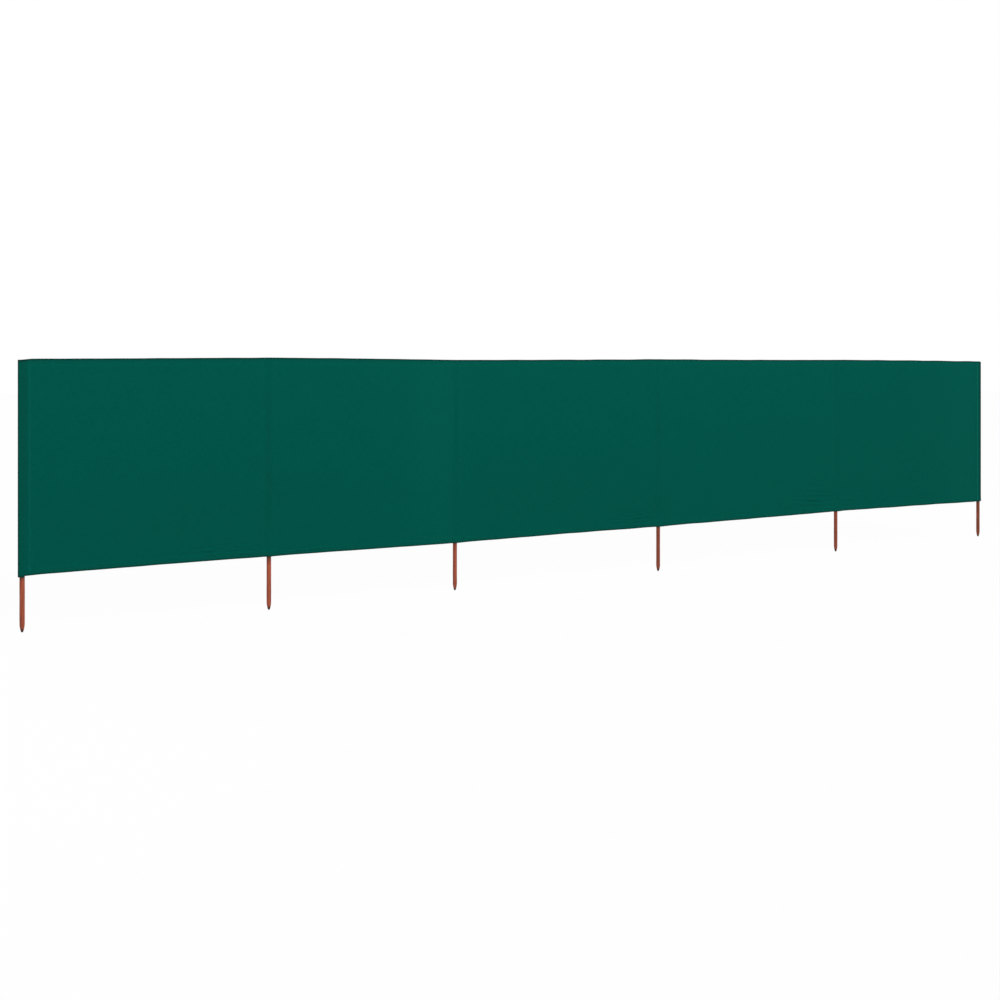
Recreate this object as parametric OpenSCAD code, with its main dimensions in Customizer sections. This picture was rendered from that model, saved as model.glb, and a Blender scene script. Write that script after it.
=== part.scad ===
// Beach windbreak: one long cloth in bays, held up by round wooden poles in sewn pockets.
// The row runs along +X, the front of the cloth faces -Y, and +Z is up.
// The origin is the centre of the first pole's blunt lower end.
// Every bay is a straight panel, and the row turns a little at each pole between two bays.

/* [Overall] */
// Height from the lower ends of the poles to the top of the cloth
row_height = 1200; // [1100:10:1600]
// Height of the cloth
cloth_height = 948; // [500:1:1000]

/* [Bays] */
// Width of the first bay, from pole to pole
bay_1_width = 1074; // [400:1:2000]
// Width of the second bay
bay_2_width = 973; // [400:1:2000]
// Width of the third bay
bay_3_width = 1241; // [400:1:2000]
// Width of the fourth bay
bay_4_width = 1360; // [400:1:2000]
// Width of the fifth bay
bay_5_width = 1292; // [400:1:2000]
// How far the second pole stands in front of the line through the two end poles
pole_2_forward = 45; // [0:1:120]
// How far the third pole stands in front of that line
pole_3_forward = 30; // [0:1:120]
// How far the fourth pole stands in front of that line
pole_4_forward = 62; // [0:1:120]
// How far the fifth pole stands in front of that line
pole_5_forward = 21; // [0:1:120]

/* [Poles] */
// Diameter of a pole
pole_diameter = 22; // [16:0.5:40]
// Length of the tapered lower end
taper_length = 38; // [15:1:80]
// Diameter of the blunt point
point_diameter = 8; // [4:0.5:14]

/* [Cloth] */
// Thickness of the cloth
cloth_thickness = 1.2; // [0.6:0.1:2]
// Height of the folded hem along the top edge
top_hem_height = 22; // [10:1:60]
// Height of the folded hem along the bottom edge
bottom_hem_height = 18; // [10:1:60]

/* [Pockets] */
// Gap between a pole and the cloth around it
pole_clearance = 0.3; // [0.1:0.1:2]
// How far a pocket spreads beside its pole, where it meets the sheet, on both sides of a middle pole
pocket_spread = 15; // [4:0.5:40]
// The same beside an end pole, towards the bay
end_pocket_spread = 18.5; // [4:0.5:40]
// The same beside an end pole, towards the free edge of the cloth
edge_spread = 2; // [1:0.5:20]
// Width of the flat seam that joins a pocket to the sheet
seam_width = 6; // [3:0.5:20]
// Width of the seam along the free edge of the cloth
edge_seam_width = 1.5; // [1:0.5:10]

/* [Hidden] */
$fn = 48;

CLOTH_COLOUR = "#04534a";
POCKET_COLOUR = "#034a42";
HEM_COLOUR = "#02403a";
WOOD_COLOUR = "#a55241";

bay_widths = [bay_1_width, bay_2_width, bay_3_width, bay_4_width, bay_5_width];
bays = len(bay_widths);
poles = bays + 1;
pole_y = [0, -pole_2_forward, -pole_3_forward, -pole_4_forward, -pole_5_forward, 0];

// Poles and bays are numbered from 1 in their names and from 0 in the lists.
function bay_run(i) = sqrt(pow(bay_widths[i], 2) - pow(pole_y[i + 1] - pole_y[i], 2));
function pole_x(i) = i == 0 ? 0 : pole_x(i - 1) + bay_run(i - 1);
function pole_at(i) = [pole_x(i), pole_y[i]];
function bay_heading(i) = atan2(pole_y[i + 1] - pole_y[i], bay_run(i));

pole_radius = pole_diameter / 2;
inner_radius = pole_radius + pole_clearance;
outer_radius = inner_radius + cloth_thickness;
cloth_bottom = row_height - cloth_height;
pocket_top_thickness = cloth_thickness;
pole_top = row_height - pocket_top_thickness - pole_clearance;

// Half the width of a pocket where it meets the sheet, on the side of the bay before it and the bay after it.
function base_before(i) = outer_radius + (i == 0 ? edge_spread
    : i == poles - 1 ? end_pocket_spread : pocket_spread);
function base_after(i) = outer_radius + (i == 0 ? end_pocket_spread
    : i == poles - 1 ? edge_spread : pocket_spread);

// How far a pocket reaches along the sheet with its seams.
function reach_before(i) = base_before(i) + (i == 0 ? edge_seam_width : seam_width);
function reach_after(i) = base_after(i) + (i == poles - 1 ? edge_seam_width : seam_width);

// Headings of the cloth just before and just after a pole: an end pole has one bay, so both are the same.
function heading_before(i) = bay_heading(max(i - 1, 0));
function heading_after(i) = bay_heading(min(i, bays - 1));

// A point beside a pole: along the cloth by run, and in front of the pole's axis by depth.
function beside(i, heading, run, depth) = pole_at(i)
    + run * [cos(heading), sin(heading)]
    + depth * [sin(heading), -cos(heading)];

// The point on the mitre line of a pole where two bays meet, in front of the axis by depth.
function mitre(i, depth) = let (
        middle = (heading_before(i) + heading_after(i)) / 2,
        half_turn = (heading_after(i) - heading_before(i)) / 2
    ) beside(i, middle, 0, depth / cos(half_turn));

// The end of a sheet in front of pole i: at the mitre, or past the pole on an end pole.
function sheet_start(i, depth) = i == 0
    ? beside(i, heading_after(i), -reach_before(i), depth) : mitre(i, depth);
function sheet_end(i, depth) = i == poles - 1
    ? beside(i, heading_before(i), reach_after(i), depth) : mitre(i, depth);

module upright(outline, bottom, height) {
    translate([0, 0, bottom])
        linear_extrude(height)
            polygon(outline);
}

module at_pole(i, bottom = 0) {
    translate([pole_x(i), pole_y[i], bottom])
        children();
}

// A round pole with a tapered lower end, cut off blunt.
module pole(i) {
    color(WOOD_COLOUR)
        at_pole(i)
            rotate_extrude()
                polygon([[0, 0], [point_diameter / 2, 0], [pole_radius, taper_length],
                    [pole_radius, pole_top], [0, pole_top]]);
}

// The front sheet of one bay, which passes in front of its two poles.
module cloth_bay(i) {
    near = inner_radius;
    far = inner_radius + cloth_thickness;
    color(CLOTH_COLOUR)
        upright([sheet_start(i, near), sheet_end(i + 1, near), sheet_end(i + 1, far), sheet_start(i, far)],
            cloth_bottom, cloth_height);
}

// A folded hem on the back of one bay, between the pockets of its two poles.
module hem(i, bottom, height) {
    heading = bay_heading(i);
    near = inner_radius - cloth_thickness;
    far = inner_radius;
    start = reach_after(i);
    end = -reach_before(i + 1);
    color(HEM_COLOUR)
        upright([beside(i, heading, start, near), beside(i + 1, heading, end, near),
            beside(i + 1, heading, end, far), beside(i, heading, start, far)],
            bottom, height);
}

// The flat seam of a pocket on the back of the sheet, on one side of the pole's round.
module pocket_seam(i, heading, run) {
    near = inner_radius - cloth_thickness;
    far = inner_radius;
    upright([mitre(i, near), beside(i, heading, run, near), beside(i, heading, run, far), mitre(i, far)],
        cloth_bottom, cloth_height);
}

// A flat flank of a pocket aims a little inside the curved part, so that the two meet at a clear crease.
// It keeps this distance from the pole's axis, for a wall whose curved part has this radius.
function flank_distance(radius) = radius - pole_clearance;

// The turn of a flank from square to the sheet, for one whose outer face meets the sheet at base.
function flank_turn(base) = acos(flank_distance(outer_radius) / norm([base, inner_radius]))
    - atan2(inner_radius, base);

// How far beside the pole a flank is, at a depth in front of the axis.
function flank_run(distance, turn, depth) = (distance + depth * sin(turn)) / cos(turn);

// The space beside a pole inside one flank of its pocket, up to front in front of the axis.
module beside_pole(i, heading, side, base, radius, front, bottom, height) {
    turn = flank_turn(base);
    distance = flank_distance(radius);
    upright([pole_at(i),
        mitre(i, front),
        beside(i, heading, side * flank_run(distance, turn, front), front),
        beside(i, heading, side * distance * cos(turn), -distance * sin(turn))],
        bottom, height);
}

// The space inside a pocket wall whose curved part has this radius, and some way in front of the sheet.
module around_pole(i, radius, bottom, height) {
    front = 2 * outer_radius;
    at_pole(i, bottom)
        cylinder(r = radius, h = height);
    beside_pole(i, heading_before(i), -1, base_before(i), radius, front, bottom, height);
    beside_pole(i, heading_after(i), 1, base_after(i), radius, front, bottom, height);
}

// Everything behind the sheet near a pole.
module behind_sheet(i) {
    back = -2 * outer_radius;
    upright([beside(i, heading_before(i), -reach_before(i), inner_radius),
        mitre(i, inner_radius),
        beside(i, heading_after(i), reach_after(i), inner_radius),
        beside(i, heading_after(i), reach_after(i), back),
        beside(i, heading_before(i), -reach_before(i), back)],
        cloth_bottom, cloth_height);
}

// The strip that passes behind a pole, is sewn flat on both sides of it, and closes over its top.
module pocket(i) {
    hollow_bottom = cloth_bottom - 1;
    hollow_top = pole_top + pole_clearance;
    color(POCKET_COLOUR)
        difference() {
            union() {
                pocket_seam(i, heading_before(i), -reach_before(i));
                pocket_seam(i, heading_after(i), reach_after(i));
                intersection() {
                    around_pole(i, outer_radius, cloth_bottom, cloth_height);
                    behind_sheet(i);
                }
            }
            around_pole(i, inner_radius, hollow_bottom, hollow_top - hollow_bottom);
        }
}

for (i = [0:poles - 1]) {
    pole(i);
    pocket(i);
}
for (i = [0:bays - 1]) {
    cloth_bay(i);
    hem(i, row_height - top_hem_height, top_hem_height);
    hem(i, cloth_bottom, bottom_hem_height);
}
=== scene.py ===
import math

import bmesh
import bpy
import numpy as np
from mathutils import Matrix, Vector


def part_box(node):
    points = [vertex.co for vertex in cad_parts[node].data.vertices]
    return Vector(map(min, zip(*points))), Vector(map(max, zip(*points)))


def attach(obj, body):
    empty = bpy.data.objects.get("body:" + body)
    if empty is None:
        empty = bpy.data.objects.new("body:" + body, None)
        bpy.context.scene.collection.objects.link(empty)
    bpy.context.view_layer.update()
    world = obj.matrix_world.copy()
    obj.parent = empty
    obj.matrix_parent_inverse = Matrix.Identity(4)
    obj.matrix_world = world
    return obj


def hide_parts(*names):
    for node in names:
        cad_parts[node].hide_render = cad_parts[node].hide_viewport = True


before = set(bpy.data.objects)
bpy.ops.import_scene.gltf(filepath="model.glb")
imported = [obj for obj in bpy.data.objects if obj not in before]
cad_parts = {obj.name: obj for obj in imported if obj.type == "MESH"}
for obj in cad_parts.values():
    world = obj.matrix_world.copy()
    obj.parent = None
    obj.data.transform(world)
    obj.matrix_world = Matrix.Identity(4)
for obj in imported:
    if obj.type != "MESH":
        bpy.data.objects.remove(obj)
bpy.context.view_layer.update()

MM = 0.001
BODY = "root"

# ---------------------------------------------------------------- sizes, all in metres

POLE_BOXES = [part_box(f"pole_{n}") for n in range(1, 7)]
POLE_AXES = [((low.x + high.x) / 2, (low.y + high.y) / 2) for low, high in POLE_BOXES]
POLE_RADIUS = max(high.x - low.x for low, high in POLE_BOXES) / 2
POLE_TOP = POLE_BOXES[0][1].z
POLES = len(POLE_AXES)
BAYS = POLES - 1
CLOTH_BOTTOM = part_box("cloth_bay_1")[0].z
CLOTH_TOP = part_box("cloth_bay_1")[1].z
TOP_HEM = CLOTH_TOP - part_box("top_hem_1")[0].z
BOTTOM_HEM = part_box("bottom_hem_1")[1].z - CLOTH_BOTTOM

CLOTH = 0.5 * MM              # thickness of the woven cloth
LAYER = 0.6 * MM              # from the middle of one layer of a fold to the next
POLE_GAP = 0.3 * MM           # air between a pole and the cloth
ROUND = POLE_RADIUS + POLE_GAP + CLOTH / 2      # radius of a pocket round the back of its pole
SHEET_DEPTH = ROUND           # from the poles' axes to the middle of the front sheet
HEM_DEPTH = 2 * LAYER         # how far a hem's outer layer lies behind the sheet
SPREAD = 15 * MM              # how far a pocket spreads beside the pole where it meets the sheet
END_SPREAD = 18.5 * MM        # the same at an end pole, towards the bay
EDGE_SPREADS = (3.1 * MM, 5 * MM)   # the same towards the free edge, at the first and the last pole
SEAM = 6 * MM                 # flat seam beside a pocket
EDGE_SEAM = 1.5 * MM          # fold along a free edge
OUTER = POLE_RADIUS + 1.5 * MM      # outside of a pocket's round in the CAD
HEM_STITCH = 2.5 * MM         # from the stitches to the folded edge of a hem
TUCKED = 7 * MM               # cloth turned under inside a hem
LID_DROP = 3.2 * MM           # where a pocket starts to close over its pole, below the top of the cloth
LID_ROWS = 8
THREAD_PITCH = 1.1 * MM       # from one thread of the weave to the next
STITCH_PITCH = 5 * MM
STITCH_LENGTH = 4.1 * MM
STITCH_WIDTH = 0.8 * MM
STITCH_SLANT = 0.10           # most that a stitch leans out of its line, in radians
TAPER = 38 * MM               # tapered lower end of a pole
POINT_RADIUS = 4 * MM         # its blunt point

# One value for each pole: the tone of its wood, and how dark and how far down the painted shadow of the cloth
# reaches on it just below the cloth.
WOOD_TONES = [0.5, 0.58, 0.5, 0.22, 0.3, 0.12]
CLOTH_SHADOW = [(0.5, 8 * MM), (0.68, 15 * MM), (0.15, 9 * MM),
               (0.35, 10 * MM), (0.25, 9 * MM), (0.3, 11 * MM)]


# ---------------------------------------------------------------- the row in plan

def row_of_bays():
    """Runs of the poles along the row, and a table of its plan with the turns at the poles rounded off."""
    runs, headings = [0.0], []
    for a, b in zip(POLE_AXES, POLE_AXES[1:]):
        runs.append(runs[-1] + math.dist(a, b))
        headings.append(math.atan2(b[1] - a[1], b[0] - a[0]))
    step = 0.5 * MM        # of the table
    margin = 60 * MM       # of the table past the end poles
    soften = 12 * MM       # of the row over which it turns at a pole
    run = np.arange(-margin, runs[-1] + margin, step)
    bay = np.clip(np.searchsorted(runs, run) - 1, 0, BAYS - 1)
    kernel = np.hanning(int(soften / step) | 1)
    padded = np.pad(np.array(headings)[bay], len(kernel) // 2, mode="edge")
    heading = np.convolve(padded, kernel / kernel.sum(), mode="valid")
    x = np.cumsum(np.cos(heading)) * step
    y = np.cumsum(np.sin(heading)) * step
    x += POLE_AXES[0][0] - np.interp(0.0, run, x)
    y += POLE_AXES[0][1] - np.interp(0.0, run, y)
    return runs, (run, heading, x, y)


RUNS, PLAN = row_of_bays()
ROW_LENGTH = RUNS[-1]
EDGE_REACHES = [OUTER + spread + EDGE_SEAM for spread in EDGE_SPREADS]      # cloth past an end pole's axis


def place(run, depth, height):
    """Row-frame points from a run along the row, a depth in front of the poles' axes and a height."""
    run, depth, height = np.broadcast_arrays(run, depth, height)
    table, heading, x, y = PLAN
    turn = np.interp(run, table, heading)
    px = np.interp(run, table, x) + depth * np.sin(turn)
    py = np.interp(run, table, y) - depth * np.cos(turn)
    return np.stack([px, py, height], axis=-1)


def smooth(value, start, end):
    """0 at start, 1 at end, with a soft curve between."""
    t = np.clip((value - start) / (end - start), 0, 1)
    return t * t * (3 - 2 * t)


def bell(value, width):
    """1 at zero, and falling off softly to both sides over this width."""
    return np.exp(-0.5 * (value / width) ** 2)


def ripples(x, y, wavelength, seed, waves=7, across=(0, math.pi)):
    """Even, wandering ripples of about one wavelength, from -1 to 1, that run across between two angles."""
    rng = np.random.default_rng(seed)
    total = np.zeros(np.broadcast(x, y).shape)
    for angle, stretch, phase in zip(rng.uniform(*across, waves), rng.uniform(0.75, 1.35, waves),
                                     rng.uniform(0, 2 * math.pi, waves)):
        wave = 2 * math.pi / (wavelength * stretch)
        total = total + np.sin(wave * (x * math.cos(angle) + y * math.sin(angle)) + phase)
    return total / math.sqrt(waves)


# ---------------------------------------------------------------- how the sheet hangs

# One value for each bay, from the left.
BILLOW = [-1 * MM, 7 * MM, -1 * MM, -2 * MM, 7 * MM]           # forwards at the middle of the bay
LIFT = [0.8 * MM, 0.2 * MM, 1.2 * MM, -1.4 * MM, -1.4 * MM]    # rise of the bottom edge
DROOP = [0.6 * MM, 1.2 * MM, 0.6 * MM, 0.5 * MM, 3.2 * MM]     # its fall towards the bay's right-hand pole
SAG = [0.4 * MM, -1 * MM, 0.8 * MM, 1.8 * MM, -1.4 * MM]       # fall of the top edge

# One value for each pole, from the left.
SLIP = [-3 * MM, 5 * MM, -4.2 * MM, 2 * MM, 1.6 * MM, -6.5 * MM]      # how far the cloth has slid up it
RIDGES = [0.5 * MM, 0.8 * MM, 0.8 * MM, 0.8 * MM, 0.8 * MM, 1.8 * MM]      # how far it pushes the cloth out
HEM_RIDGES = [1.2 * MM, 1.1 * MM, 1.1 * MM, 0.9 * MM, 0.9 * MM, 0.0]       # the same again, at the top hem
RIDGE_WIDTHS = [11 * MM, 11 * MM, 11 * MM, 11 * MM, 11 * MM, 5 * MM]

# Gathers beside the feet of the poles. Each has the pole's number from 0, then in mm the run from it, how
# far it reaches, its height, the spread of its heights and the length of its waves, and last its strength.
GATHERS = [
    (1, -215, 190, 40, 20, 21, 1.2), (1, 150, 140, 17, 9, 17, 1.0),
    (2, -150, 150, 30, 15, 19, 1.1), (2, 60, 50, 18, 9, 17, 0.7),
    (3, -200, 180, 46, 22, 22, 1.2), (3, 55, 50, 30, 14, 20, 1.0), (3, 270, 220, 16, 8, 18, 0.8),
    (4, -150, 170, 80, 64, 26, 0.85), (4, 90, 75, 34, 17, 22, 1.1),
    (5, -380, 400, 17, 9, 18, 0.9)]

# Patches of painted shade, where the sheet is drawn a little darker: run, height above its bottom edge, half
# the width, half the height, lean and strength.
PAINTED_SHADE_PATCHES = [
    (0.62, 0.235, 0.50, 0.11, 0, 0.03), (2.55, 0.235, 0.40, 0.11, 0, 0.04),
    (RUNS[1] + 0.03, 0.32, 0.014, 0.07, -0.6, 0.07), (RUNS[3] + 0.008, 0.12, 0.045, 0.055, 0, 0.055),
    (RUNS[3] - 0.17, 0.095, 0.06, 0.035, 0, 0.04)]

# The sheet's band of painted shade over each pole, for the pole's shadow through the cloth: strength, run of
# its middle past the pole and half its width.
POLE_SHADE_BANDS = [
    (0.19, 8.2 * MM, 14.5 * MM), (0.085, -2 * MM, 15 * MM), (0.07, 2 * MM, 12 * MM),
    (0.06, -7 * MM, 15 * MM), (0.03, 3 * MM, 24 * MM), (0.0, 0.0, 10 * MM)]

# Where the sheet is painted a little lighter over its whole height, a painted highlight: run of the middle,
# half the width and strength.
PAINTED_LIGHT_PATCHES = [(1.93, 0.11, 0.042), (5.80, 0.20, 0.042)]

# Lines of painted shade along the free edge past the last pole, painted highlight where the strength is below
# 0: distance from the edge, half width and strength.
END_SHADE_LINES = [(26 * MM, 4 * MM, 0.15), (38 * MM, 4 * MM, -0.32), (48 * MM, 4 * MM, 0.17)]


def nearest_pole(run):
    """Distance past the nearest pole's axis, and that pole's number from 0."""
    gaps = np.asarray(run)[..., None] - np.array(RUNS)
    pole = np.abs(gaps).argmin(-1)
    return np.take_along_axis(gaps, pole[..., None], -1)[..., 0], pole


def share_of_bay(run):
    """Bay number from 0 and the share of its width from its left pole."""
    bay = np.clip(np.searchsorted(RUNS, run, side="right") - 1, 0, BAYS - 1)
    left, right = np.array(RUNS)[bay], np.array(RUNS)[bay + 1]
    return bay, np.clip((run - left) / (right - left), 0, 1)


def spreads(pole):
    """How far a pocket spreads beside its pole where it meets the sheet, to the left and to the right."""
    left = EDGE_SPREADS[0] if pole == 0 else END_SPREAD if pole == POLES - 1 else SPREAD
    right = EDGE_SPREADS[1] if pole == POLES - 1 else END_SPREAD if pole == 0 else SPREAD
    return left, right


def seam_places():
    """Every line of stitches that holds a pocket, as its run and its pole's number."""
    lines = []
    for pole, run in enumerate(RUNS):
        left, right = spreads(pole)
        if pole > 0:
            lines.append((run - OUTER - left - SEAM / 2, pole))
        if pole < POLES - 1:
            lines.append((run + OUTER + right + SEAM / 2, pole))
    return lines


SEAMS = seam_places()
HEM_LINES = (CLOTH_TOP - TOP_HEM + HEM_STITCH, CLOTH_BOTTOM + BOTTOM_HEM - HEM_STITCH)


def forward(run, height):
    """How far the sheet stands in front of its flat place."""
    run, height = np.broadcast_arrays(run, height)
    up = (height - CLOTH_BOTTOM) / (CLOTH_TOP - CLOTH_BOTTOM)
    bay, share = share_of_bay(run)
    past, pole = nearest_pole(run)
    total = np.array(BILLOW)[bay] * np.sin(math.pi * share) ** 2 * (0.75 + 0.4 * np.sin(math.pi * up))

    # over the poles, most of all where the thick hem crosses them and at the mouths of the pockets
    hem = smooth(height, CLOTH_TOP - TOP_HEM - 14 * MM, CLOTH_TOP - TOP_HEM)
    ridge = np.array(RIDGES)[pole] + hem * np.array(HEM_RIDGES)[pole]
    total = total + ridge * bell(past, np.array(RIDGE_WIDTHS)[pole])
    mouth = 1 - smooth(height - CLOTH_BOTTOM, 0, 55 * MM)
    total = total + 3.2 * MM * mouth * bell(past, 13 * MM)

    # backwards round the end poles
    total = total - 4.5 * MM * smooth(-run, 1 * MM, EDGE_REACHES[0] + 3 * MM)
    total = total - 3.5 * MM * smooth(run - ROW_LENGTH, 3 * MM, EDGE_REACHES[1] + 3 * MM)

    # wide and narrow ripples, between the poles only
    away = 1 - bell(past, 60 * MM)
    total = total + away * 0.65 * MM * ripples(run, height * 1.6, 420 * MM, seed=3)
    total = total + away * 0.15 * MM * ripples(run * 0.8, height * 1.3, 130 * MM, seed=4)

    # grooves and puckers of the stitches, and the rounded hems
    for seam, _ in SEAMS:
        total = total - 0.14 * MM * bell(run - seam, 2.6 * MM)
        pucker = ripples(run * 0.3, height, 13 * MM, seed=5)
        total = total + 0.16 * MM * pucker * bell(run - seam, 8 * MM)
    for line, fold in zip(HEM_LINES, (CLOTH_TOP, CLOTH_BOTTOM)):
        total = total - 0.6 * MM * bell(height - line, 2.4 * MM)
        total = total + 0.5 * MM * bell(height - (line + fold) / 2, 5 * MM)
        pucker = ripples(run, height * 0.35, 14 * MM, seed=6)
        total = total + 0.32 * MM * pucker * bell(height - line, 10 * MM)

    # waves along the top and bottom edges
    edge = np.minimum(CLOTH_TOP - height, height - CLOTH_BOTTOM)
    total = total + away * 0.4 * MM * ripples(run, 0 * height, 120 * MM, seed=8) * bell(edge, 35 * MM)
    return total + gathers(run, height)


def gathers(run, height):
    """Small folds that fan out from the feet of the poles."""
    total = 0.0
    above = height - CLOTH_BOTTOM
    for number, middle, reach, level, spread, wave, strength in GATHERS:
        beside = run - RUNS[number]
        rise = above - 0.02 * np.abs(beside)
        fan = bell(beside - middle * MM, 0.6 * reach * MM) * smooth(np.abs(beside), 10 * MM, 40 * MM)
        fan = fan * smooth(above, 2 * MM, 14 * MM) * bell(rise - level * MM, spread * MM)
        folds = ripples(run, rise, wave * MM, seed=20 + number, waves=6,
                        across=(0.40 * math.pi, 0.56 * math.pi))
        total = total + strength * 0.085 * wave * MM * fan * folds
    return total


def upward(run, height):
    """How far the sheet's points stand above their flat place: the edges are not quite straight."""
    run, height = np.broadcast_arrays(run, height)
    up = (height - CLOTH_BOTTOM) / (CLOTH_TOP - CLOTH_BOTTOM)
    bay, share = share_of_bay(run)
    past, _ = nearest_pole(run)
    slid = np.interp(run, RUNS, SLIP)

    # the bottom edge: its bows between the poles, its fall at the right end and its hanging left corner
    lean = np.sin(math.pi * share ** 1.35) ** 1.2
    rise = np.array(LIFT)[bay] * lean - 1.4 * MM * bell(past - 20 * MM, 30 * MM)
    rise = rise - np.array(DROOP)[bay] * smooth(share, 0.55, 0.9) * smooth(1 - share, 0, 0.06)
    rise = rise - 3 * MM * smooth(run, ROW_LENGTH - 260 * MM, ROW_LENGTH - 20 * MM)
    low = (1 - smooth(up, 0, 0.45)) * rise
    corner = 1 - smooth(run, 5 * MM, 12 * MM)
    low = low - 5.5 * MM * corner * (1 - smooth(up, 0, 0.12))

    # the top edge: its bows between the poles and its two dropped corners
    high = smooth(up, 0.6, 1) * -np.array(SAG)[bay] * np.sin(math.pi * share)
    corner = 1 - smooth(run, -EDGE_REACHES[0] + 3 * MM, 46 * MM)
    high = high - 4.5 * MM * corner * smooth(up, 0.85, 1)
    corner = smooth(run, ROW_LENGTH + 2 * MM, ROW_LENGTH + EDGE_REACHES[1])
    high = high - 4 * MM * corner * smooth(up, 0.97, 1)

    wander = 0.4 * MM * ripples(run, 0 * height, 210 * MM, seed=9) * (1 - bell(past, 30 * MM))
    return slid + low + high + wander * (smooth(up, 0.9, 1) + 1 - smooth(up, 0, 0.1))


def on_sheet(run, height, behind=0.0):
    """Points of the hanging sheet, or of a layer that lies that far behind it."""
    return place(run, SHEET_DEPTH + forward(run, height) - behind, height + upward(run, height))


# ---------------------------------------------------------------- meshes

def graded(start, end, fine, coarse, zone):
    """Steps from start to end that are fine within a zone at both ends and coarse between."""
    length = end - start
    zone = min(zone, length / 2)
    near = np.arange(0, zone, fine)
    count = max(1, round((length - 2 * zone) / coarse))
    middle = np.linspace(zone, length - zone, count + 1)
    return start + np.concatenate([near, middle, length - near[::-1]])


def grid_piece(name, points, uv, closed=False):
    """A piece from rows of points, with its own UV map in metres along and up the cloth."""
    rows, columns = points.shape[:2]
    index = np.arange(rows * columns).reshape(rows, columns)
    if closed:
        index = np.concatenate([index, index[:, :1]], axis=1)
    a, b, c, d = index[:-1, :-1], index[:-1, 1:], index[1:, 1:], index[1:, :-1]
    quads = np.stack([a, b, c, d], axis=-1).reshape(-1, 4)
    mesh = bpy.data.meshes.new(name)
    mesh.from_pydata(points.reshape(-1, 3).tolist(), [], quads.tolist())
    layer = mesh.uv_layers.new(name="UVMap")
    corners = np.empty(len(mesh.loops), dtype=np.int32)
    mesh.loops.foreach_get("vertex_index", corners)
    layer.data.foreach_set("uv", uv.reshape(-1, 2)[corners].astype(np.float32).ravel())
    mesh.polygons.foreach_set("use_smooth", np.ones(len(mesh.polygons), dtype=bool))
    mesh.update()
    mark_borders(mesh)
    piece = bpy.data.objects.new(name, mesh)
    bpy.context.scene.collection.objects.link(piece)
    return piece


def mark_borders(mesh):
    """Makes the open edges sharp, so that the light doesn't round them off once the cloth is thick."""
    edge_of_corner = np.empty(len(mesh.loops), dtype=np.int32)
    mesh.loops.foreach_get("edge_index", edge_of_corner)
    faces = np.bincount(edge_of_corner, minlength=len(mesh.edges))
    sharp = mesh.attributes.new("sharp_edge", "BOOLEAN", "EDGE")
    sharp.data.foreach_set("value", faces == 1)


def shaded(piece, shade):
    """Says how much painted shade each point of a piece has: 0 is plain, 1 is darkest, and below 0 is painted
    highlight.
    """
    values = piece.data.attributes.new("shade", "FLOAT", "POINT")
    values.data.foreach_set("value", np.ascontiguousarray(shade, dtype=np.float32).ravel())


def thicken(piece, thickness):
    solid = piece.modifiers.new("thickness", "SOLIDIFY")
    solid.thickness = thickness
    solid.offset = 0.0
    solid.use_even_offset = True


def finish_piece(piece, material, slot, *nodes):
    piece.data.materials.append(material)
    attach(piece, BODY)
    if nodes:
        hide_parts(*nodes)


def half_turn(steps):
    """Angles of the points inside a folded edge, from one layer to the other."""
    return np.linspace(0, math.pi, steps + 2)[1:-1]


def sheet_section():
    """The sheet's section, as heights and distances behind the front.

    It runs from the turned end of the bottom hem, up the front, to the turned end of the top hem.
    """
    big, small = HEM_DEPTH / 2, (HEM_DEPTH - LAYER) / 2      # radii of a hem's outer and inner folds

    def hem(edge, inward, height):
        """One hem from its tucked end out to the fold at the edge of the sheet."""
        turned = edge + inward * (height - small)
        section = [(turned - inward * (TUCKED - small), LAYER), (turned, LAYER)]
        section += [(turned + inward * small * math.sin(t), LAYER + small - small * math.cos(t))
                    for t in half_turn(2)]
        flat = np.linspace(turned, edge + inward * big, 8)
        section += [(z, HEM_DEPTH) for z in flat]
        section += [(edge + inward * big * (1 - math.sin(t)), big + big * math.cos(t))
                    for t in half_turn(4)]
        return section

    bottom = hem(CLOTH_BOTTOM, 1, BOTTOM_HEM)
    top = hem(CLOTH_TOP, -1, TOP_HEM)
    low, high = CLOTH_BOTTOM + big, CLOTH_TOP - big
    front = np.concatenate([
        graded(low, low + 150 * MM, 2.5 * MM, 4 * MM, 28 * MM)[:-1],
        np.arange(low + 150 * MM, high - 34 * MM, 9 * MM),
        np.arange(high - 28 * MM, high, 2.5 * MM), [high]])
    return np.array(bottom + [(z, 0.0) for z in front] + top[::-1])


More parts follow.
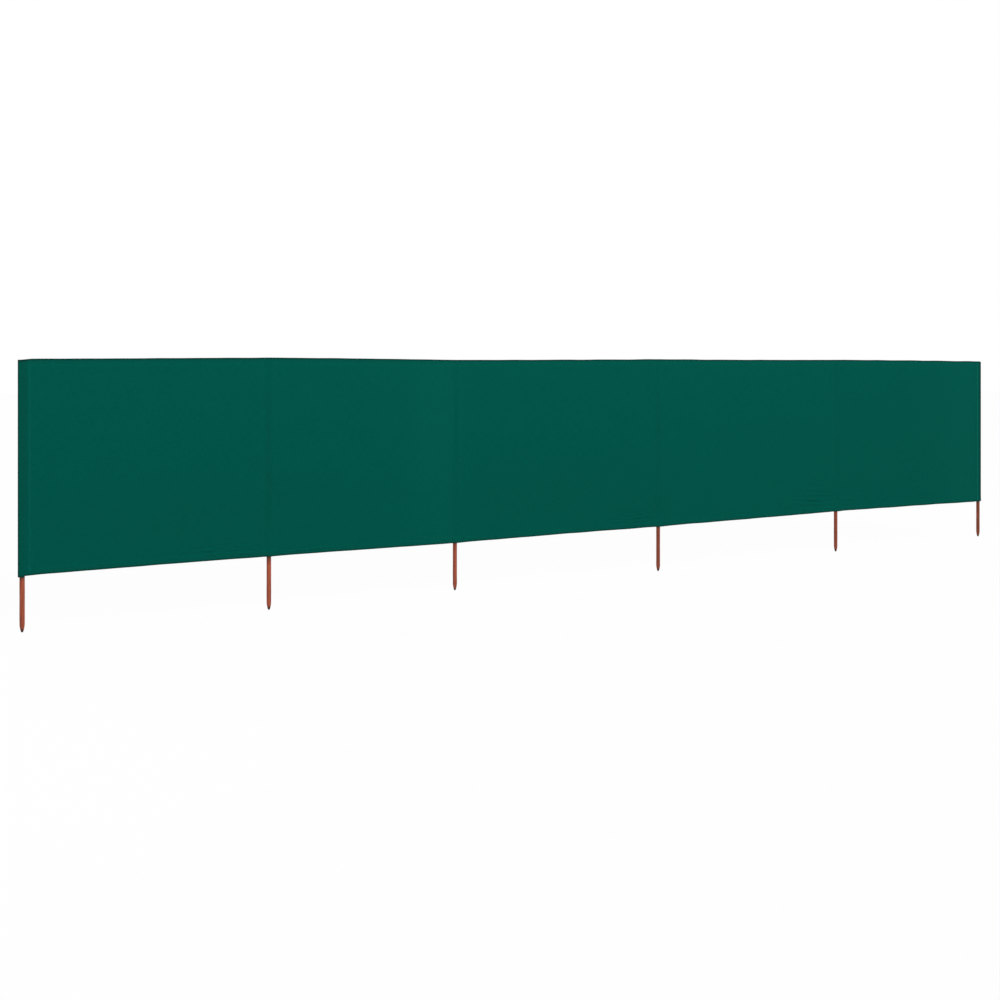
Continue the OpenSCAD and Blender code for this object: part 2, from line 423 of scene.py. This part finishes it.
def sheet_shade(run, heights):
    """How much painted shade the sheet has at its folds, stitches, poles, edges and in patches, and below 0
    how much painted highlight on its ridges and lighter patches.
    """
    fold = np.minimum(CLOTH_TOP - heights, heights - CLOTH_BOTTOM)
    upper = smooth(heights, CLOTH_BOTTOM, CLOTH_TOP)

    # along the hems: painted shade at the fold, painted highlights on two lines inside it and painted shade
    # in the groove of the stitches
    hem_highlight = upper * (0.06 + 0.07 * smooth(run, RUNS[2] - 0.2, RUNS[2] + 0.2))
    shade = (0.62 + 0.18 * upper) * bell(fold, 5.6 * MM) - hem_highlight * bell(fold - 14.5 * MM, 3 * MM)
    shade = shade - 0.03 * bell(fold - 26 * MM, 4 * MM)
    for line in HEM_LINES:
        shade = shade + 0.08 * bell(heights - line, 1.8 * MM)

    # over the poles: bands of painted shade, faint at the very top and fading out towards the bottom
    past, pole = nearest_pole(run)
    down = (CLOTH_TOP - heights) / (CLOTH_TOP - CLOTH_BOTTOM)
    strength, middle, width = np.array(POLE_SHADE_BANDS)[pole].transpose(2, 0, 1)
    level = (0.5 + 0.5 * smooth(down, 0.1, 0.35)) * (1 - 0.75 * smooth(down, 0.62, 0.92))
    level = np.where(pole == 0, 1 - 0.5 * smooth(down, 0.5, 0.9), level)
    shade = shade + strength * level * np.exp(-np.abs((past - middle) / width) ** 3.5)

    # patches of painted shade
    for place_run, place_height, width, tall, lean, strength in PAINTED_SHADE_PATCHES:
        above = heights - CLOTH_BOTTOM - place_height
        shade = shade + strength * bell(run - place_run - lean * above, width) * bell(above, tall)
    # patches of painted highlight
    for place_run, width, strength in PAINTED_LIGHT_PATCHES:
        shade = shade - strength * bell(run - place_run, width)
    # painted highlight beside each line of pocket stitches
    for seam, number in SEAMS:
        shade = shade - (0.10 if number == 0 else 0.01) * bell(run - seam + 4 * MM, 3 * MM)

    # the two free edges: painted shade along them, and lines of painted shade and highlight past the last
    # pole
    shade = shade + 0.72 * bell(run + EDGE_REACHES[0], 3 * MM)
    inside = ROW_LENGTH + EDGE_REACHES[1] - run
    shade = shade + 0.92 * np.exp(-(inside / (19 * MM)) ** 4)
    for distance, width, strength in END_SHADE_LINES:
        shade = shade + strength * bell(inside - distance, width)
    return np.clip(shade, -0.5, 0.95)


def bay_sheet(bay, material):
    """One bay of the sheet with its hems folded to the back."""
    section = sheet_section()
    start = RUNS[bay] if bay else -EDGE_REACHES[0] + HEM_DEPTH / 2
    end = RUNS[bay + 1] if bay < BAYS - 1 else ROW_LENGTH + EDGE_REACHES[1] - HEM_DEPTH / 2
    run = graded(start, end, 2.6 * MM, 8.5 * MM, 42 * MM if 0 < bay < BAYS - 1 else 64 * MM)
    heights, behind = section[:, 0][:, None], section[:, 1][:, None]
    points = on_sheet(run[None, :], heights, behind)
    travel = np.concatenate([[0], np.cumsum(np.hypot(*np.diff(section, axis=0).T))])
    uv = np.stack(np.broadcast_arrays(run[None, :], travel[:, None]), axis=-1)
    piece = grid_piece(f"sheet_{bay + 1}", points, uv)
    shaded(piece, sheet_shade(run[None, :], heights))
    thicken(piece, CLOTH)
    number = bay + 1
    finish_piece(piece, material, "cloth", f"cloth_bay_{number}", f"top_hem_{number}", f"bottom_hem_{number}")
    float(end - start)


def pocket_section(pole):
    """A pocket's section from its left edge to its right one, as runs past the pole and depths."""
    first, last = pole == 0, pole == POLES - 1

    def flank(spread, seam, side, free_edge):
        """One side, from its turned or folded edge to the start of the round."""
        base = OUTER + spread
        reach = base + seam
        flat = SHEET_DEPTH - HEM_DEPTH
        turn = math.acos(ROUND / math.hypot(base, flat)) - math.atan2(flat, base)
        if free_edge:
            r = HEM_DEPTH / 2
            points = [(reach - r, SHEET_DEPTH)]
            points += [(reach - r + r * math.sin(t), SHEET_DEPTH - r + r * math.cos(t)) for t in half_turn(4)]
            points += [(reach - r, flat)]
        else:
            r = LAYER / 2
            points = [(base + 1 * MM, flat + LAYER), (reach - r, flat + LAYER)]
            points += [(reach - r + r * math.sin(t), flat + r + r * math.cos(t)) for t in half_turn(3)]
            points += [(reach - r, flat)]
        points += [(base + 0.6 * MM, flat)]                           # inner edge of the flat seam
        leave = (ROUND * math.cos(turn), -ROUND * math.sin(turn))      # where the flank meets the round
        for t in np.linspace(0.06, 1, 9):
            points.append((base + (leave[0] - base) * t, flat + (leave[1] - flat) * t))
        return [(side * w, d) for w, d in points], turn

    before, after = spreads(pole)
    left, left_turn = flank(before, EDGE_SEAM if first else SEAM, -1, first)
    right, right_turn = flank(after, EDGE_SEAM if last else SEAM, 1, last)
    arc = np.linspace(math.pi - left_turn, right_turn, 15)[1:-1]
    back = [(ROUND * math.cos(t), -ROUND * math.sin(t)) for t in arc]
    return np.array(left + back + right[::-1])


def pocket(pole, material):
    """The strip behind one pole, slack on its flanks, closed over the pole's top."""
    section = pocket_section(pole)
    w, depth = section[:, 0], section[:, 1]
    behind = SHEET_DEPTH - depth                       # 0 at the sheet
    tall = CLOTH_TOP - CLOTH_BOTTOM
    rows = CLOTH_BOTTOM + np.concatenate([
        np.linspace(0, 30 * MM, 11)[:-1],
        np.arange(30 * MM, tall - 26 * MM, 9 * MM),
        tall - np.linspace(24 * MM, LID_DROP, 10)])
    height = rows[:, None]
    run = RUNS[pole] + w[None, :]

    # long slack folds and finer creases, only on the flanks
    loose = smooth(behind, HEM_DEPTH + 0.4 * MM, 6 * MM) * (1 - 0.75 * bell(w, 6 * MM))
    folds = ripples(height * 0.16, w[None, :] + 0.35 * pole, 15 * MM, seed=31 + pole)
    creases = ripples(height, w[None, :] * 0.5 + pole, 34 * MM, seed=41 + pole)
    out = loose[None, :] * (MM * folds + 0.5 * MM * creases + 0.8 * MM)
    side = np.tanh(w / (6 * MM))[None, :]
    run = run + out * side * 0.7
    carried = forward(run, height) * np.clip(1 - (behind[None, :] - HEM_DEPTH) / (10 * MM), 0, 1)
    over_hem = bell(height - CLOTH_TOP, 22 * MM) + bell(height - CLOTH_BOTTOM, 18 * MM)
    new_depth = depth[None, :] + carried - out * 0.7 - 0.15 * MM * over_hem

    # no fold cuts into the pole
    past = run - RUNS[pole]
    clear = np.maximum(1, ROUND / np.hypot(past, new_depth))
    run, new_depth = RUNS[pole] + past * clear, new_depth * clear
    points = place(run, new_depth, height + upward(run, height))

    # the closed top: the section shrinks on to the sheet's top edge over a rounded corner
    lid, front, share_of_corner = [], SHEET_DEPTH - HEM_DEPTH, 0.45
    free = depth < front - 0.5 * MM                    # what isn't sewn to the sheet
    top_lift = upward(RUNS[pole] + w, CLOTH_TOP)
    for t in np.linspace(0.15, 1, LID_ROWS):
        corner = min(1.0, t / share_of_corner)
        inward = 2.4 * MM * (1 - math.cos(corner * math.pi / 2))
        slide = max(0.0, (t - share_of_corner) / (1 - share_of_corner))
        z = CLOTH_TOP - LID_DROP + 3.0 * MM * math.sin(corner * math.pi / 2)
        d = np.where(free, np.minimum(depth + inward, front), depth)
        d = d + (front - d) * slide * free
        lid.append(place(RUNS[pole] + w, d + forward(RUNS[pole] + w, z), z + top_lift))
    points = np.concatenate([points, np.array(lid)])
    travel = np.concatenate([[0], np.cumsum(np.hypot(*np.diff(section, axis=0).T))])
    up = np.concatenate([rows, CLOTH_TOP + np.linspace(0, 20, LID_ROWS) * MM])
    uv = np.stack(np.broadcast_arrays(travel[None, :] + RUNS[pole], up[:, None]), axis=-1)
    piece = grid_piece(f"pocket_strip_{pole + 1}", points[:, ::-1], uv[:, ::-1])
    # painted shade along the strip's bottom and top and where it meets the sheet
    edge_shade = 0.25 * bell(up - CLOTH_BOTTOM, 3 * MM)[:, None] + 0.25 * bell(up - CLOTH_TOP, 5 * MM)[:, None]
    shaded(piece, (edge_shade + 0.12 * bell(behind - HEM_DEPTH, 1 * MM)[None, :])[:, ::-1])
    thicken(piece, CLOTH)
    finish_piece(piece, material, "pocket", f"pocket_{pole + 1}")


def stake(number, material):
    """One turned pole with a carved taper, rounded at the shoulder and at the blunt point."""
    low, _ = POLE_BOXES[number]
    top = min(POLE_TOP, POLE_TOP + float(upward(RUNS[number], CLOTH_TOP)) - 0.5 * MM)
    tiny = 0.02 * MM              # radius of the rings that close the two ends
    profile = [(0.0, tiny), (0.0, POINT_RADIUS * 0.4), (0.0, POINT_RADIUS - 1.1 * MM),
               (0.25 * MM, POINT_RADIUS - 0.4 * MM), (0.9 * MM, POINT_RADIUS)]
    for t in np.linspace(0.08, 1, 14):
        bulge = math.sin(t * math.pi / 2) ** 0.9
        profile.append((t * TAPER, POINT_RADIUS + (POLE_RADIUS - POINT_RADIUS) * bulge))
    profile += [(z, POLE_RADIUS) for z in np.arange(TAPER + 9 * MM, top - 5 * MM, 12 * MM)]
    profile += [(top - 2 * MM, POLE_RADIUS), (top - 0.8 * MM, POLE_RADIUS - 0.7 * MM),
                (top, POLE_RADIUS - 2 * MM), (top, tiny)]
    heights, radii = np.array(profile).T
    sides = 40
    angle = np.linspace(0, 2 * math.pi, sides, endpoint=False)
    z, a = heights[:, None], angle[None, :]
    uneven = ripples(np.cos(a) * 0.02 + number, z * 0.5 + np.sin(a) * 0.02, 45 * MM, seed=61 + number)
    carved = 0.35 * MM * np.cos(7 * a + 3 * number) * bell(z - 17 * MM, 9 * MM)
    worn = 0.14 * MM * (1 + uneven) + carved * 0.5
    radius = radii[:, None] - smooth(radii[:, None], 0.5 * MM, 4 * MM) * worn
    x, y = POLE_AXES[number]
    points = np.stack([x + radius * np.cos(a), y + radius * np.sin(a), low.z + z + 0 * a], axis=-1)
    uv = np.stack(np.broadcast_arrays(a * POLE_RADIUS, z), axis=-1)
    piece = grid_piece(f"stake_{number + 1}", points, uv, closed=True)
    close_ends(piece.data, sides, len(heights))
    tone = piece.data.attributes.new("tone", "FLOAT", "POINT")
    tone.data.foreach_set("value", np.full(len(piece.data.vertices), WOOD_TONES[number], dtype=np.float32))
    # painted shadow of the cloth on the pole just below the cloth's bottom edge
    under = np.maximum(CLOTH_BOTTOM + float(upward(RUNS[number], CLOTH_BOTTOM)) - z, 0)
    strength, reach = CLOTH_SHADOW[number]
    shaded(piece, strength * bell(under, reach) + 0 * a)
    finish_piece(piece, material, "wood", f"pole_{number + 1}")


def close_ends(mesh, sides, rings):
    """Fills the first and the last ring of a closed grid."""
    shape = bmesh.new()
    shape.from_mesh(mesh)
    shape.verts.ensure_lookup_table()
    shape.faces.new([shape.verts[i] for i in range(sides)][::-1])
    shape.faces.new([shape.verts[(rings - 1) * sides + i] for i in range(sides)])
    bmesh.ops.recalc_face_normals(shape, faces=shape.faces)
    shape.to_mesh(mesh)
    shape.free()


# ---------------------------------------------------------------- materials

class Signal:
    """A shader socket that takes part in sums and products."""

    def __init__(self, tree, socket):
        self.tree, self.socket = tree, socket

    def math(self, operation, *others):
        node = self.tree.nodes.new("ShaderNodeMath")
        node.operation = operation
        for index, value in enumerate((self, *others)):
            connect(self.tree, node.inputs[index], value)
        return Signal(self.tree, node.outputs[0])

    def __add__(self, other):
        return self.math("ADD", other)

    def __sub__(self, other):
        return self.math("SUBTRACT", other)

    def __mul__(self, other):
        return self.math("MULTIPLY", other)

    def __rsub__(self, other):
        return (self * -1.0) + other

    __radd__, __rmul__ = __add__, __mul__


def connect(tree, socket, value):
    """Gives a socket its link or its value."""
    if isinstance(value, Signal):
        tree.links.new(value.socket, socket)
    else:
        socket.default_value = value


class Nodes:
    """A tree of shader nodes that is built up node by node."""

    def __init__(self, tree):
        self.tree = tree
        tree.nodes.clear()

    def node(self, kind, settings=None, output=0, **values):
        """Any node: its settings first, then the values or links of its sockets by name."""
        node = self.tree.nodes.new("ShaderNode" + kind)
        for key, value in (settings or {}).items():
            if key == "stops":
                ramp = node.color_ramp
                while len(ramp.elements) < len(value):
                    ramp.elements.new(1.0)
                for element, (position, colour) in zip(ramp.elements, value):
                    element.position, element.color = position, colour
            else:
                setattr(node, key, value)
        for key, value in values.items():
            connect(self.tree, socket_named(node, key), value)
        return Signal(self.tree, node.outputs[output])

    def mix(self, factor, first, second):
        """A colour between two colours."""
        return self.node("Mix", {"data_type": "RGBA"}, output=2, Factor=factor, A=first, B=second)

    def mix_shaders(self, factor, first, second):
        """A shader between two shaders, whose two sockets have one name."""
        mixed = self.node("MixShader", Fac=factor)
        for socket, shader in zip(mixed.socket.node.inputs[1:], (first, second)):
            connect(self.tree, socket, shader)
        return mixed

    def seen(self):
        """1 for what the camera sees, directly or in gloss or through something, and 0 for what lights it."""
        camera, gloss, through = (self.node("LightPath", output=f"Is {kind} Ray")
                                  for kind in ("Camera", "Glossy", "Transmission"))
        return camera.math("MAXIMUM", gloss).math("MAXIMUM", through)

    def surface(self, shader, kind="Material"):
        """Makes this shader the tree's result."""
        output = self.tree.nodes.new("ShaderNodeOutput" + kind)
        connect(self.tree, output.inputs["Surface"], shader)


class Finish(Nodes):
    """A material that is built up node by node."""

    def __init__(self, name):
        self.material = bpy.data.materials.new(name)
        self.material.use_nodes = True
        super().__init__(self.material.node_tree)

    def surface(self, shader):
        super().surface(shader)
        return self.material


def socket_named(node, key):
    wanted = key.replace("_", " ").lower()
    return next(s for s in node.inputs if s.name.lower() == wanted and s.enabled)


def srgb(red, green, blue):
    """A linear colour from its usual values of 0 to 255."""
    def linear(value):
        v = value / 255
        return v / 12.92 if v <= 0.04045 else ((v + 0.055) / 1.055) ** 2.4
    return (linear(red), linear(green), linear(blue), 1.0)


def woven_cloth(name, base, light, dark):
    """A matt plain weave with uneven threads and faint mottling, with painted shade in folds and painted
    highlights on ridges.
    """
    cloth = Finish(name)
    uv = cloth.node("UVMap", {"uv_map": "UVMap"})
    u, v = (cloth.node("SeparateXYZ", output=axis, Vector=uv) for axis in "XY")
    warp = (u * (math.pi / THREAD_PITCH)).math("COSINE")
    weft = (v * (math.pi / THREAD_PITCH)).math("COSINE")
    over = (warp * weft * 3.0).math("TANH") * 0.5 + 0.5
    weave = warp.math("ABSOLUTE") * over + weft.math("ABSOLUTE") * (1.0 - over)
    along = cloth.node("CombineXYZ", X=u * 30.0, Y=v * 700.0, Z=0.0)
    across = cloth.node("CombineXYZ", X=u * 700.0, Y=v * 30.0, Z=3.0)
    slub = (cloth.node("TexNoise", Vector=along, Scale=1.0, Detail=2.0)
            + cloth.node("TexNoise", Vector=across, Scale=1.0, Detail=2.0)) * 0.5
    mottle = cloth.node("TexNoise", Vector=uv, Scale=7.0, Detail=4.0, Roughness=0.6)
    tone = (slub - 0.5) * 2.0 + (mottle - 0.5) * 0.16 + (weave - 0.6) * 0.9 + 0.5
    colour = cloth.mix(0.65, base, cloth.mix(tone, dark, light))
    # painted shade towards dark green, and painted highlight towards light green where the shade is below 0
    shade = cloth.node("Attribute", {"attribute_name": "shade"}, output="Fac")
    colour = cloth.mix(shade, colour, srgb(12, 41, 36))
    colour = cloth.mix(shade * -1.0, colour, srgb(20, 118, 104))
    height = weave * 0.7 + slub * 0.6
    bump = cloth.node("Bump", Strength=0.35, Distance=0.12 * MM, Height=height)
    rough = 0.86 + (slub - 0.5) * 0.12
    return cloth.surface(cloth.node("BsdfPrincipled", Base_Color=colour, Roughness=rough, Normal=bump,
                                    Specular_IOR_Level=0.02))


def stained_wood():
    """Red-brown stained wood: grain along the pole, fine pores, dark at the point, and a painted shadow of
    the cloth just below the cloth.
    """
    wood = Finish("stained_wood")
    coords = wood.node("TexCoord", output="Object")
    x, y, z = (wood.node("SeparateXYZ", output=axis, Vector=coords) for axis in "XYZ")
    wander = wood.node("TexNoise", Vector=coords, Scale=9.0, Detail=2.0)
    stretched = wood.node("CombineXYZ", X=x * 260.0 + wander * 1.5, Y=y * 260.0 + wander * 1.5, Z=z * 9.0)
    fine = wood.node("CombineXYZ", X=x * 1400.0, Y=y * 1400.0, Z=z * 42.0)
    bands = wood.node("TexNoise", Vector=stretched, Scale=1.0, Detail=4.0, Roughness=0.55)
    pores = wood.node("TexNoise", Vector=fine, Scale=1.0, Detail=2.0)
    blotch = wood.node("TexNoise", Vector=coords, Scale=22.0, Detail=3.0)
    tone = wood.node("Attribute", {"attribute_name": "tone"}, output="Fac")
    level = (bands - 0.5) * 1.5 + (blotch - 0.5) * 0.35 + tone * 0.55 + 0.2 - (0.5 - pores) * 0.35
    stops = [(0.0, srgb(84, 38, 22)), (0.45, srgb(144, 67, 44)),
             (0.75, srgb(172, 84, 59)), (1.0, srgb(190, 108, 80))]
    colour = wood.node("ValToRGB", {"stops": stops}, Fac=level)
    ragged = (wander - 0.5) * 0.012 + (pores - 0.5) * 0.006
    tip = wood.node("MapRange", {"interpolation_type": "SMOOTHSTEP"}, Value=z + ragged,
                    From_Min=9 * MM, From_Max=19 * MM, To_Min=1.0, To_Max=0.0)
    colour = wood.mix(tip * 0.93, colour, srgb(46, 32, 27))
    # painted shadow of the cloth, from the shade attribute
    shade = wood.node("Attribute", {"attribute_name": "shade"}, output="Fac")
    colour = wood.mix(shade, colour, srgb(62, 34, 24))
    bump = wood.node("Bump", Strength=0.5, Distance=0.25 * MM, Height=pores * 0.5 + bands * 0.8)
    rough = 0.52 + (pores - 0.5) * 0.3 + tip * 0.15
    return wood.surface(wood.node("BsdfPrincipled", Base_Color=colour, Roughness=rough, Normal=bump,
                                  Specular_IOR_Level=0.25))


def sewing_thread():
    """Thread a little lighter than the cloth, with the fine grain of its twist."""
    thread = Finish("sewing_thread")
    coords = thread.node("TexCoord", output="Object")
    twist = thread.node("TexNoise", Vector=coords, Scale=2200.0, Detail=1.0)
    colour = thread.mix(twist, srgb(4, 80, 70), srgb(24, 108, 94))
    bump = thread.node("Bump", Strength=0.4, Distance=0.1 * MM, Height=twist)
    return thread.surface(thread.node("BsdfPrincipled", Base_Color=colour, Roughness=0.6, Normal=bump,
                                      Specular_IOR_Level=0.1))


# ---------------------------------------------------------------- stitches

def stitch_tree():
    """Geometry nodes that lay short stitches end to end along lines."""
    tree = bpy.data.node_groups.new("stitches_along_lines", "GeometryNodeTree")
    face = tree.interface
    kinds = {"Lines": "Geometry", "Pitch": "Float", "Stitch Length": "Float", "Thread Width": "Float",
             "Slant": "Float", "Thread": "Material"}
    ids = {name: face.new_socket(name, in_out="INPUT", socket_type="NodeSocket" + kind).identifier
           for name, kind in kinds.items()}
    face.new_socket("Stitches", in_out="OUTPUT", socket_type="NodeSocketGeometry")

    def add(kind, **settings):
        node = tree.nodes.new(kind)
        for key, value in settings.items():
            setattr(node, key, value)
        return node

    def link(a, output, b, socket):
        tree.links.new(a.outputs[output], b.inputs[socket])

    given, made = add("NodeGroupInput"), add("NodeGroupOutput")
    curve = add("GeometryNodeMeshToCurve")
    spaced = add("GeometryNodeResampleCurve", mode="LENGTH")
    bead = add("GeometryNodeMeshUVSphere")
    bead.inputs["Segments"].default_value = 4
    bead.inputs["Rings"].default_value = 4
    bead.inputs["Radius"].default_value = 0.5
    tangent = add("GeometryNodeInputTangent")
    turned = add("FunctionNodeAlignRotationToVector", axis="Z")
    size = add("ShaderNodeCombineXYZ")
    random = add("FunctionNodeRandomValue", data_type="FLOAT")
    random.inputs["Seed"].default_value = 11
    around = add("FunctionNodeAxisAngleToRotation")
    around.inputs["Axis"].default_value = (0, 1, 0)
    rotate = add("FunctionNodeRotateRotation", rotation_space="LOCAL")
    negative = add("ShaderNodeMath", operation="MULTIPLY")
    negative.inputs[1].default_value = -1.0
    copies = add("GeometryNodeInstanceOnPoints")
    real = add("GeometryNodeRealizeInstances")
    smooth_faces = add("GeometryNodeSetShadeSmooth")
    paint = add("GeometryNodeSetMaterial")
    link(given, "Lines", curve, "Mesh")
    link(curve, "Curve", spaced, "Curve")
    link(given, "Pitch", spaced, "Length")
    link(spaced, "Curve", copies, "Points")
    link(bead, "Mesh", copies, "Instance")
    link(tangent, "Tangent", turned, "Vector")
    link(given, "Slant", negative, 0)
    link(negative, 0, random, 2)             # the least and the most of its numbers, not of its vectors
    link(given, "Slant", random, 3)
    link(random, 1, around, "Angle")
    link(turned, "Rotation", rotate, "Rotation")
    link(around, "Rotation", rotate, "Rotate By")
    link(rotate, "Rotation", copies, "Rotation")
    link(given, "Thread Width", size, "X")
    link(given, "Thread Width", size, "Y")
    link(given, "Stitch Length", size, "Z")
    link(size, "Vector", copies, "Scale")
    link(copies, "Instances", real, "Geometry")
    link(real, "Geometry", smooth_faces, "Geometry")
    link(smooth_faces, "Geometry", paint, "Geometry")
    link(given, "Thread", paint, "Material")
    link(paint, "Geometry", made, "Stitches")
    return tree, ids


def stitch_lines(back):
    """Points of every line of stitches, on the front of the sheet or on its back."""
    behind = HEM_DEPTH + CLOTH / 2 if back else -CLOTH / 2
    step = 3 * MM                 # from one point to the next
    lines = []
    for height in HEM_LINES:
        if not back:
            run = np.arange(-EDGE_REACHES[0] + 3 * MM, ROW_LENGTH + EDGE_REACHES[1] - 3 * MM, step)
            lines.append(on_sheet(run, height, behind))
            continue
        for bay in range(BAYS):
            start = RUNS[bay] + OUTER + spreads(bay)[1] + SEAM + 1 * MM
            end = RUNS[bay + 1] - OUTER - spreads(bay + 1)[0] - SEAM - 1 * MM
            lines.append(on_sheet(np.arange(start, end, step), height, behind))
    height = np.arange(CLOTH_BOTTOM + 2 * MM, CLOTH_TOP - 2 * MM, step)
    for seam, _ in SEAMS:
        lines.append(on_sheet(seam, height, behind))
    return lines


def stitches(name, lines, material, tree, ids):
    """One piece of short stitches along these lines."""
    points, edges = [], []
    for line in lines:
        first = len(points)
        points += line.tolist()
        edges += [(i, i + 1) for i in range(first, len(points) - 1)]
    mesh = bpy.data.meshes.new(name + "_lines")
    mesh.from_pydata(points, edges, [])
    guide = bpy.data.objects.new(name + "_lines", mesh)
    bpy.context.scene.collection.objects.link(guide)
    layer = guide.modifiers.new("stitches", "NODES")
    layer.node_group = tree
    inputs = {"Pitch": STITCH_PITCH, "Stitch Length": STITCH_LENGTH, "Thread Width": STITCH_WIDTH,
              "Slant": STITCH_SLANT, "Thread": material}
    for key, value in inputs.items():
        layer[ids[key]] = value
    graph = bpy.context.evaluated_depsgraph_get()
    made = bpy.data.meshes.new_from_object(guide.evaluated_get(graph), depsgraph=graph)
    bpy.data.objects.remove(guide)
    made.name = name
    piece = bpy.data.objects.new(name, made)
    bpy.context.scene.collection.objects.link(piece)
    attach(piece, BODY)


# ---------------------------------------------------------------- studio

KEY_SUN, BACK_SUN = 1.07, 0.95
OVERHEAD_WATTS = 62.5
SKY_LIGHT = 0.43              # strength of the sky for everything but what the camera sees of it
FLOOR_GLOW = 0.965            # share of plain white in the floor as the camera sees it; the rest takes shadow
FLOOR_HALF = 40.0


def camera():
    """Level, at the height of the cloth's top, looking along the row from its left end."""
    data = bpy.data.cameras.new("camera")
    data.sensor_width, data.lens = 36.0, 37.8
    data.shift_y = -0.1353
    data.clip_end = 100.0
    item = bpy.data.objects.new("camera", data)
    item.location = (-0.1026, -5.0490, 1.171)
    item.rotation_euler = (math.radians(90), 0, math.radians(-25.636))
    bpy.context.scene.collection.objects.link(item)
    bpy.context.scene.camera = item


def lamp(kind, name, location, aim, energy, **settings):
    """A lamp at a place, turned to its aim."""
    data = bpy.data.lights.new(name, kind)
    data.energy = energy
    for key, value in settings.items():
        setattr(data, key, value)
    item = bpy.data.objects.new(name, data)
    item.location = location
    item.rotation_euler = (Vector(aim) - Vector(location)).to_track_quat("-Z", "Y").to_euler()
    item.visible_camera = False
    bpy.context.scene.collection.objects.link(item)


def studio():
    """Soft light from above, in front and behind, in a room that looks white."""
    middle = ROW_LENGTH / 2
    lamp("SUN", "key", (middle + 2.1, -4.8, 3.9), (middle, 0, 0.7), KEY_SUN, angle=math.radians(25))
    lamp("AREA", "overhead", (middle - 0.45, -2.1, 3.0), (middle - 0.45, 0, 0.6), OVERHEAD_WATTS,
         shape="RECTANGLE", size=9.6, size_y=0.8)
    lamp("SUN", "back_fill", (middle - 1.5, 5.0, 3.0), (middle, 0, 0.7), BACK_SUN, angle=math.radians(40))
    world = bpy.data.worlds.new("studio")
    bpy.context.scene.world = world
    world.use_nodes = True
    sky = Nodes(world.node_tree)
    soft = sky.node("Background", Color=(1, 1, 1, 1), Strength=SKY_LIGHT)
    white = sky.node("Background", Color=(1, 1, 1, 1), Strength=1.0)
    sky.surface(sky.mix_shaders(sky.seen(), soft, white), "World")


def floor():
    """A white floor that keeps a faint shadow."""
    mesh = bpy.data.meshes.new("floor")
    corners = [(x * FLOOR_HALF, y * FLOOR_HALF, 0) for x, y in ((-1, -1), (1, -1), (1, 1), (-1, 1))]
    mesh.from_pydata(corners, [], [(0, 1, 2, 3)])
    item = bpy.data.objects.new("floor", mesh)
    item.location = (0, 0, -0.5 * MM)
    bpy.context.scene.collection.objects.link(item)
    white = Finish("floor_white")
    plain = white.node("BsdfDiffuse", Color=(0.85, 0.85, 0.85, 1))
    glow = white.node("Emission", Color=(1, 1, 1, 1), Strength=1.0)
    mesh.materials.append(white.surface(white.mix_shaders(white.seen() * FLOOR_GLOW, plain, glow)))


# ---------------------------------------------------------------- the windbreak

def windbreak():
    cloth = woven_cloth("green_cloth", srgb(0, 80, 69), srgb(2, 92, 80), srgb(0, 67, 57))
    strip = woven_cloth("pocket_cloth", srgb(0, 78, 67), srgb(2, 90, 78), srgb(0, 65, 55))
    wood, thread = stained_wood(), sewing_thread()
    for bay in range(BAYS):
        bay_sheet(bay, cloth)
    for number in range(POLES):
        pocket(number, strip)
        stake(number, wood)
    tree, ids = stitch_tree()
    stitches("front_stitches", stitch_lines(False), thread, tree, ids)
    stitches("back_stitches", stitch_lines(True), thread, tree, ids)


camera()
windbreak()
studio()
floor()
bpy.context.scene.view_settings.view_transform = "Standard"
